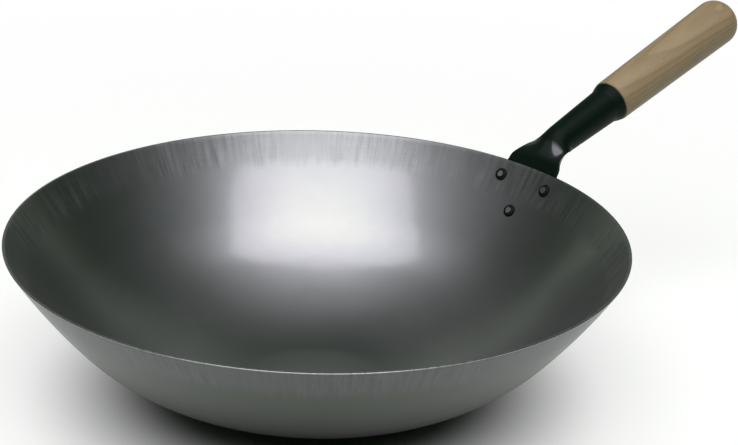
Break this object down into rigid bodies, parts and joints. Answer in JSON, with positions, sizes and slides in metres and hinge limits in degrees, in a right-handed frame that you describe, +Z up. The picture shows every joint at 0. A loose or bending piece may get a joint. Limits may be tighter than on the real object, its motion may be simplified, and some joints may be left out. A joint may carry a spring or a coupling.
{
  "type": "wok",
  "caption": "Carbon-steel wok with a small flat base, rounded body, flared wall and plain cut rim; a black steel socket riveted to the wall carries a turned wooden grip for one-handed tossing.",
  "frame": {"origin": "centre of the flat base's underside, on the bowl's axis", "axes": "+X from the bowl's axis out along the handle, +Z up through the bowl's mouth, and +Y to the left of someone who looks along +X"},
  "size_m": [0.5469, 0.356, 0.1815],
  "materials": {
    "carbon_steel": "bare pressed sheet, satin, with a thin oil film",
    "black_enamel": "glossy black enamel",
    "rivet_steel": "blackened, with a bright flattened crown",
    "pale_wood": "turned, sanded and thinly lacquered",
    "screw_steel": "zinc plated"
  },
  "bodies": {
    "root": {"bowl": "carbon_steel", "handle_socket": "black_enamel", "rivet_upper_left": "rivet_steel", "rivet_upper_right": "rivet_steel", "rivet_lower": "rivet_steel", "wooden_grip": "pale_wood", "grip_screw": "screw_steel"}
  },
  "joints": []
}
